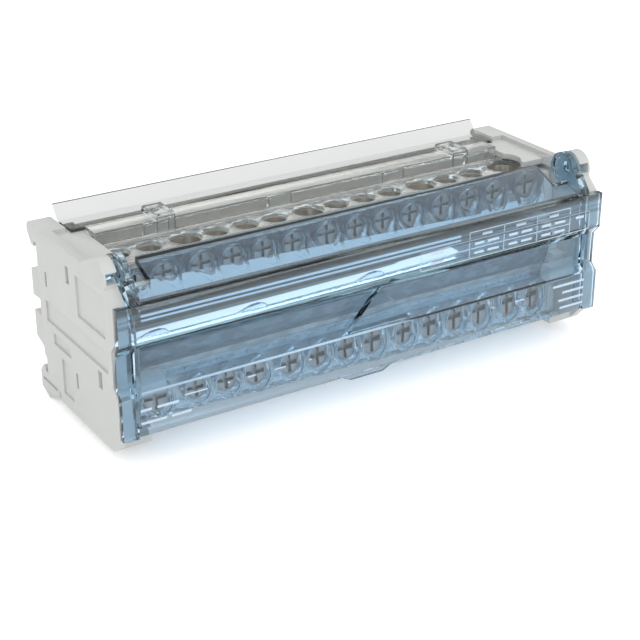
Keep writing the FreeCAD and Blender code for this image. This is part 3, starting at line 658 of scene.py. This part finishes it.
class BlockFinishes(bpy.types.PropertyGroup):
    """Colours and gloss of the block's mouldings and metal"""

    grey_plastic: bpy.props.FloatVectorProperty(
        name="End plates", description="Colour of the grey mouldings", subtype="COLOR",
        default=(0.49, 0.50, 0.485), min=0.0, max=1.0)
    inner_plastic: bpy.props.FloatVectorProperty(
        name="Carrier", description="Colour of the insulating carrier", subtype="COLOR",
        default=(0.68, 0.65, 0.61), min=0.0, max=1.0)
    tinted_plastic: bpy.props.FloatVectorProperty(
        name="Cover", description="Tint of the hinged cover", subtype="COLOR",
        default=(0.66, 0.835, 1.0), min=0.0, max=1.0)
    pale_plastic: bpy.props.FloatVectorProperty(
        name="Lower shroud", description="Tint of the lower shroud", subtype="COLOR",
        default=(0.86, 0.94, 1.0), min=0.0, max=1.0)
    shroud_plastic: bpy.props.FloatVectorProperty(
        name="Upper shroud", description="Tint of the upper shroud", subtype="COLOR",
        default=(0.94, 0.94, 0.935), min=0.0, max=1.0)
    clear_plastic: bpy.props.FloatVectorProperty(
        name="Screen", description="Tint of the rear screen", subtype="COLOR",
        default=(0.66, 0.66, 0.655), min=0.0, max=1.0)
    hood_plastic: bpy.props.FloatVectorProperty(
        name="Hoods", description="Tint of the two hoods", subtype="COLOR",
        default=(0.93, 0.93, 0.925), min=0.0, max=1.0)
    brass: bpy.props.FloatVectorProperty(
        name="Bars", description="Colour of the brass", subtype="COLOR",
        default=(0.46, 0.43, 0.39), min=0.0, max=1.0)
    screw_steel: bpy.props.FloatVectorProperty(
        name="Screws", description="Colour of the screws", subtype="COLOR",
        default=(0.34, 0.33, 0.32), min=0.0, max=1.0)
    print_white: bpy.props.FloatVectorProperty(
        name="Print", description="Colour of the printed lines", subtype="COLOR",
        default=(0.9, 0.9, 0.9), min=0.0, max=1.0)
    # The ledge's top glows: painted light
    ledge_top: bpy.props.FloatVectorProperty(
        name="Ledge", description="Colour of the lower shroud's ledge from above", subtype="COLOR",
        default=(0.95, 0.98, 1.0), min=0.0, max=1.0)
    # The ledge's front carries painted shadows of the ribs
    ledge_front: bpy.props.FloatVectorProperty(
        name="Ledge front", description="Colour of the lower shroud's ledge from the front",
        subtype="COLOR", default=(0.95, 0.87, 0.79), min=0.0, max=1.0)
    # The shroud's ribs carry painted shadows
    shroud_ribs: bpy.props.FloatVectorProperty(
        name="Shroud ribs", description="Colour of the ribs above the lower screws", subtype="COLOR",
        default=(0.58, 0.53, 0.48), min=0.0, max=1.0)
    # The ribs and strips behind the cover glow: painted light
    pale_rib: bpy.props.FloatVectorProperty(
        name="Pale ribs", description="Colour of the lit ribs and strips behind the cover",
        subtype="COLOR", default=(0.66, 0.73, 0.78), min=0.0, max=1.0)
    # The dark edges are painted shade
    edge_line: bpy.props.FloatVectorProperty(
        name="Edges", description="Colour of the dark edges of the clear mouldings", subtype="COLOR",
        default=(0.13, 0.13, 0.13), min=0.0, max=1.0)
    ground: bpy.props.FloatVectorProperty(
        name="Floor", description="Colour of the floor", subtype="COLOR",
        default=(0.95, 0.95, 0.95), min=0.0, max=1.0)
    clear_roughness: bpy.props.FloatProperty(
        name="Haze", description="Roughness of the transparent mouldings", subtype="FACTOR",
        default=0.01, min=0.0, max=1.0)
    wall: bpy.props.FloatProperty(
        name="Wall", description="Thickness in mm that lets the full tint through",
        default=1.5, min=0.1)


class BlockEdges(bpy.types.PropertyGroup):
    """Rounding of the edges, in millimetres"""

    plate_round: bpy.props.FloatProperty(
        name="Plates", description="Edge radius of the grey mouldings in mm", default=0.3, min=0.0)
    cover_round: bpy.props.FloatProperty(
        name="Cover", description="Edge radius of the cover in mm", default=0.14, min=0.0)
    clear_round: bpy.props.FloatProperty(
        name="Shrouds", description="Edge radius of the clear mouldings in mm", default=0.15, min=0.0)
    metal_round: bpy.props.FloatProperty(
        name="Metal", description="Edge radius of bars and screws in mm", default=0.15, min=0.0)
    stroke: bpy.props.FloatProperty(
        name="Print line", description="Width of a printed line in mm", default=0.22, min=0.05)
    segments: bpy.props.IntProperty(
        name="Steps", description="Faces across each rounded edge", default=2, min=1, max=6)


class BlockStage(bpy.types.PropertyGroup):
    """Camera, floor and light"""

    camera_place: bpy.props.FloatVectorProperty(
        name="Camera", description="Place of the camera", subtype="TRANSLATION", unit="LENGTH",
        default=(-0.195859, -0.325125, 0.15614))
    azimuth: bpy.props.FloatProperty(
        name="Azimuth", description="Turn of the camera round the block",
        subtype="ANGLE", unit="ROTATION", default=math.radians(-32.43))
    elevation: bpy.props.FloatProperty(
        name="Elevation", description="Height angle of the camera",
        subtype="ANGLE", unit="ROTATION", default=math.radians(24.98))
    lens: bpy.props.FloatProperty(
        name="Lens", description="Focal length in mm", default=85.39, min=1.0)
    floor_size: bpy.props.FloatProperty(
        name="Floor", description="Width of the floor", unit="LENGTH", default=6.0, min=0.1)
    key_power: bpy.props.FloatProperty(
        name="Key light", description="Power of the key light in watts", default=2.0, min=0.0)
    fill_power: bpy.props.FloatProperty(
        name="Fill light", description="Power of the fill light in watts", default=1.1, min=0.0)
    front_power: bpy.props.FloatProperty(
        name="Front light", description="Power of the front light in watts", default=1.2, min=0.0)
    sky: bpy.props.FloatProperty(
        name="Surround", description="Strength of the white surround", default=1.15, min=0.0)


class BLOCK_OT_stage(bpy.types.Operator):
    """Set up the floor, the lights, the surround and the camera"""

    bl_idname = "block.stage"
    bl_label = "Stage"

    def execute(self, context):
        stage = context.scene.block_stage
        self.lay_floor(context, stage)
        for name, (size, place) in LAMPS.items():
            area_light(f"{name}_light", getattr(stage, f"{name}_power"), size, place)
        self.light_surround(context, stage)
        self.place_camera(context, stage)
        context.scene.view_settings.view_transform = "Standard"
        return {"FINISHED"}

    def lay_floor(self, context, stage):
        """A level square just below the block."""
        half = stage.floor_size / 2
        mesh = bpy.data.meshes.new("ground_plane")
        corners = [(-half, -half, 0), (half, -half, 0), (half, half, 0), (-half, half, 0)]
        mesh.from_pydata(corners, [], [(0, 1, 2, 3)])
        ground = bpy.data.objects.new("ground_plane", mesh)
        ground.location.z = FLOOR_LEVEL - FLOOR_GAP
        context.scene.collection.objects.link(ground)
        ground.data.materials.append(finish_named("ground"))

    def light_surround(self, context, stage):
        """A white surround that darkens towards the ground."""
        world = bpy.data.worlds.new("surround")
        sky = Shading(world)
        direction = sky.node("ShaderNodeTexCoord", {}, {})
        parts = sky.node("ShaderNodeSeparateXYZ", {}, {0: direction.outputs["Generated"]})
        fade = sky.node("ShaderNodeValToRGB", {"stops": SKY_STOPS}, {0: parts.outputs["Z"]})
        light = sky.node("ShaderNodeBackground", {}, {"Color": fade.outputs[0], "Strength": stage.sky})
        sky.node("ShaderNodeOutputWorld", {}, {"Surface": light.outputs[0]})
        context.scene.world = world

    def place_camera(self, context, stage):
        """The camera at its place, turned by its two angles."""
        camera = bpy.data.objects.new("camera", bpy.data.cameras.new("camera"))
        camera.data.lens = stage.lens
        camera.data.sensor_width = SENSOR_WIDTH
        camera.data.clip_start = NEAREST_VIEW
        camera.location = stage.camera_place
        flat = math.cos(stage.elevation)
        turned = stage.azimuth
        ahead = Vector((-math.sin(turned) * flat, math.cos(turned) * flat, -math.sin(stage.elevation)))
        camera.rotation_euler = ahead.to_track_quat("-Z", "Y").to_euler()
        context.scene.collection.objects.link(camera)
        context.scene.camera = camera


class BLOCK_OT_end_plates(bpy.types.Operator):
    """Dress the two grey end plates with rounded edges and moulded grain"""

    bl_idname = "block.end_plates"
    bl_label = "End plates"

    def execute(self, context):
        dress(GREY_PIECES, "grey_plastic", context.scene.block_edges.plate_round)
        return {"FINISHED"}


class BLOCK_OT_rail_clips(bpy.types.Operator):
    """Dress the two sliding rail clips"""

    bl_idname = "block.rail_clips"
    bl_label = "Rail clips"

    def execute(self, context):
        dress(CLIP_PIECES, "grey_plastic", context.scene.block_edges.plate_round)
        return {"FINISHED"}


class BLOCK_OT_carrier(bpy.types.Operator):
    """Dress the carrier and the two bar supports"""

    bl_idname = "block.carrier"
    bl_label = "Carrier and supports"

    def execute(self, context):
        dress(INNER_PIECES, "inner_plastic", context.scene.block_edges.clear_round)
        return {"FINISHED"}


class BLOCK_OT_bars(bpy.types.Operator):
    """Dress the two brass bars"""

    bl_idname = "block.bars"
    bl_label = "Brass bars"

    def execute(self, context):
        dress(BAR_PIECES, "brass", context.scene.block_edges.metal_round)
        return {"FINISHED"}


class BLOCK_OT_screws(bpy.types.Operator):
    """Dress the clamping screws"""

    bl_idname = "block.screws"
    bl_label = "Screws"

    def execute(self, context):
        dress(SCREW_PIECES, "screw_steel", context.scene.block_edges.metal_round)
        return {"FINISHED"}


class BLOCK_OT_shrouds(bpy.types.Operator):
    """Make the clear shrouds over both rows of terminals"""

    bl_idname = "block.shrouds"
    bl_label = "Shrouds"

    def execute(self, context):
        width = context.scene.block_edges.clear_round
        dress(["upper_shroud"], "shroud_plastic", width)
        dress(["lower_shroud"], "pale_plastic", width)
        return {"FINISHED"}


class BLOCK_OT_ledge(bpy.types.Operator):
    """Lay the pale faces on the lower shroud's ledge and inside both shrouds: painted light that glows
    on the ledge's top and the two strips, painted shadows of ribs on the ledge's front and the
    shroud's ribs
    """

    bl_idname = "block.ledge"
    bl_label = "Ledge"

    def execute(self, context):
        low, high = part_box("lower_shroud")
        whole = (low.x / MM, high.x / MM)
        ledge_level = (LEDGE_LEVEL, LEDGE_LEVEL + FILM)
        ledge_wall = (LEDGE_FRONT, LEDGE_FRONT + FILM)
        rib_wall = (SHROUD_REAR, SHROUD_REAR + FILM)
        deck_level = (LOWER_DECK, LOWER_DECK + FILM)
        strip_wall = (STRIP_FRONT, STRIP_FRONT + FILM)
        for name, finish, node, span in (
            ("ledge_top", "ledge_top", "lower_shroud",
             ((low.x / MM, LEDGE_RIGHT), (LEDGE_FRONT, LEDGE_REAR), ledge_level)),
            ("ledge_front", "ledge_front", "lower_shroud",
             (whole, ledge_wall, (LEDGE_FOOT, LEDGE_LEVEL - LEDGE_WALL))),
            ("shroud_ribs", "shroud_ribs", "lower_shroud",
             (whole, rib_wall, (SHROUD_FOOT, SHROUD_HEAD))),
            ("lower_strip", "pale_rib", "lower_shroud",
             (whole, (SHROUD_REAR, ENTRY_FRONT), deck_level)),
            ("upper_strip", "pale_rib", "upper_shroud",
             (whole, strip_wall, (STRIP_FOOT, STRIP_HEAD))),
        ):
            lay(name, [span], finish, node)
        return {"FINISHED"}


class BLOCK_OT_screen(bpy.types.Operator):
    """Make the clear rear screen and the two hoods"""

    bl_idname = "block.screen"
    bl_label = "Screen and hoods"

    def execute(self, context):
        width = context.scene.block_edges.clear_round
        dress(["rear_screen"], "clear_plastic", width)
        dress(HOODS, "hood_plastic", width)
        return {"FINISHED"}


class BLOCK_OT_edges(bpy.types.Operator):
    """Draw painted shade as dark edges of the clear mouldings"""

    bl_idname = "block.edges"
    bl_label = "Edges"

    def execute(self, context):
        whole = (-SCREEN_HALF, SCREEN_HALF)
        screen_shade_line = (whole, (SCREEN_EDGE, SCREEN_EDGE + EDGE), (SCREEN_TOP - EDGE, SCREEN_TOP))
        lines = {"upper_shroud": shroud_edge_shades(), "rear_screen": [screen_shade_line]}
        lines.update({node: hood_edge_shades(*ends) for node, ends in HOODS.items()})
        for node, spans in lines.items():
            # Each node's edge piece is a set of dark boxes of painted shade
            lay(f"{node}_edges", spans, "edge_line", node)
        return {"FINISHED"}


class BLOCK_OT_cover(bpy.types.Operator):
    """Make the tinted cover with its rounded edges"""

    bl_idname = "block.cover"
    bl_label = "Cover"

    def execute(self, context):
        dress(["front_cover"], "tinted_plastic", context.scene.block_edges.cover_round)
        return {"FINISHED"}


class BLOCK_OT_cover_ribs(bpy.types.Operator):
    """Lay two pale ribs along the inside of the cover, below its window, glowing as painted light"""

    bl_idname = "block.cover_ribs"
    bl_label = "Cover ribs"

    def execute(self, context):
        depth = (RIB_FRONT, RIB_FRONT + FILM)
        spans = [((RIB_LEFT, RIB_RIGHT), depth, level) for level in RIB_LEVELS]
        lay("cover_ribs", spans, "pale_rib", "front_cover")
        return {"FINISHED"}


class BLOCK_OT_print(bpy.types.Operator):
    """Print the plain table, dashes and lines on the cover"""

    bl_idname = "block.print"
    bl_label = "Print"

    def execute(self, context):
        width = context.scene.block_edges.stroke
        depth = (PRINT_FRONT, PRINT_FRONT + FILM)
        rows = table_strokes(width) + label_strokes(width)
        spans = [((left, right), depth, (low, high)) for left, right, low, high in rows]
        lay("cover_print", spans, "print_white", "front_cover")
        return {"FINISHED"}


STEPS = (
    BLOCK_OT_stage, BLOCK_OT_end_plates, BLOCK_OT_rail_clips, BLOCK_OT_carrier, BLOCK_OT_bars,
    BLOCK_OT_screws, BLOCK_OT_shrouds, BLOCK_OT_ledge, BLOCK_OT_screen, BLOCK_OT_edges, BLOCK_OT_cover,
    BLOCK_OT_cover_ribs, BLOCK_OT_print,
)


class BLOCK_PT_panel(bpy.types.Panel):
    """Lists the steps that dress the block"""

    bl_idname = "BLOCK_PT_panel"
    bl_label = "Distribution block"
    bl_space_type = "VIEW_3D"
    bl_region_type = "UI"
    bl_category = "Block"

    def draw(self, context):
        layout = self.layout
        for step in STEPS:
            layout.operator(step.bl_idname)
        for group in ("block_finishes", "block_edges", "block_stage"):
            settings = getattr(context.scene, group)
            for key in settings.bl_rna.properties.keys():
                if key not in ("rna_type", "name"):
                    layout.prop(settings, key)


GROUPS = {"block_finishes": BlockFinishes, "block_edges": BlockEdges, "block_stage": BlockStage}
CLASSES = (*GROUPS.values(), *STEPS, BLOCK_PT_panel)


def register():
    for item in CLASSES:
        bpy.utils.register_class(item)
    for name, group in GROUPS.items():
        setattr(bpy.types.Scene, name, bpy.props.PointerProperty(type=group))


def unregister():
    for name in GROUPS:
        delattr(bpy.types.Scene, name)
    for item in reversed(CLASSES):
        bpy.utils.unregister_class(item)


def main():
    """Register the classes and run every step."""
    register()
    for step in STEPS:
        group, name = step.bl_idname.split(".")
        getattr(getattr(bpy.ops, group), name)()


if __name__ == "__main__":
    main()
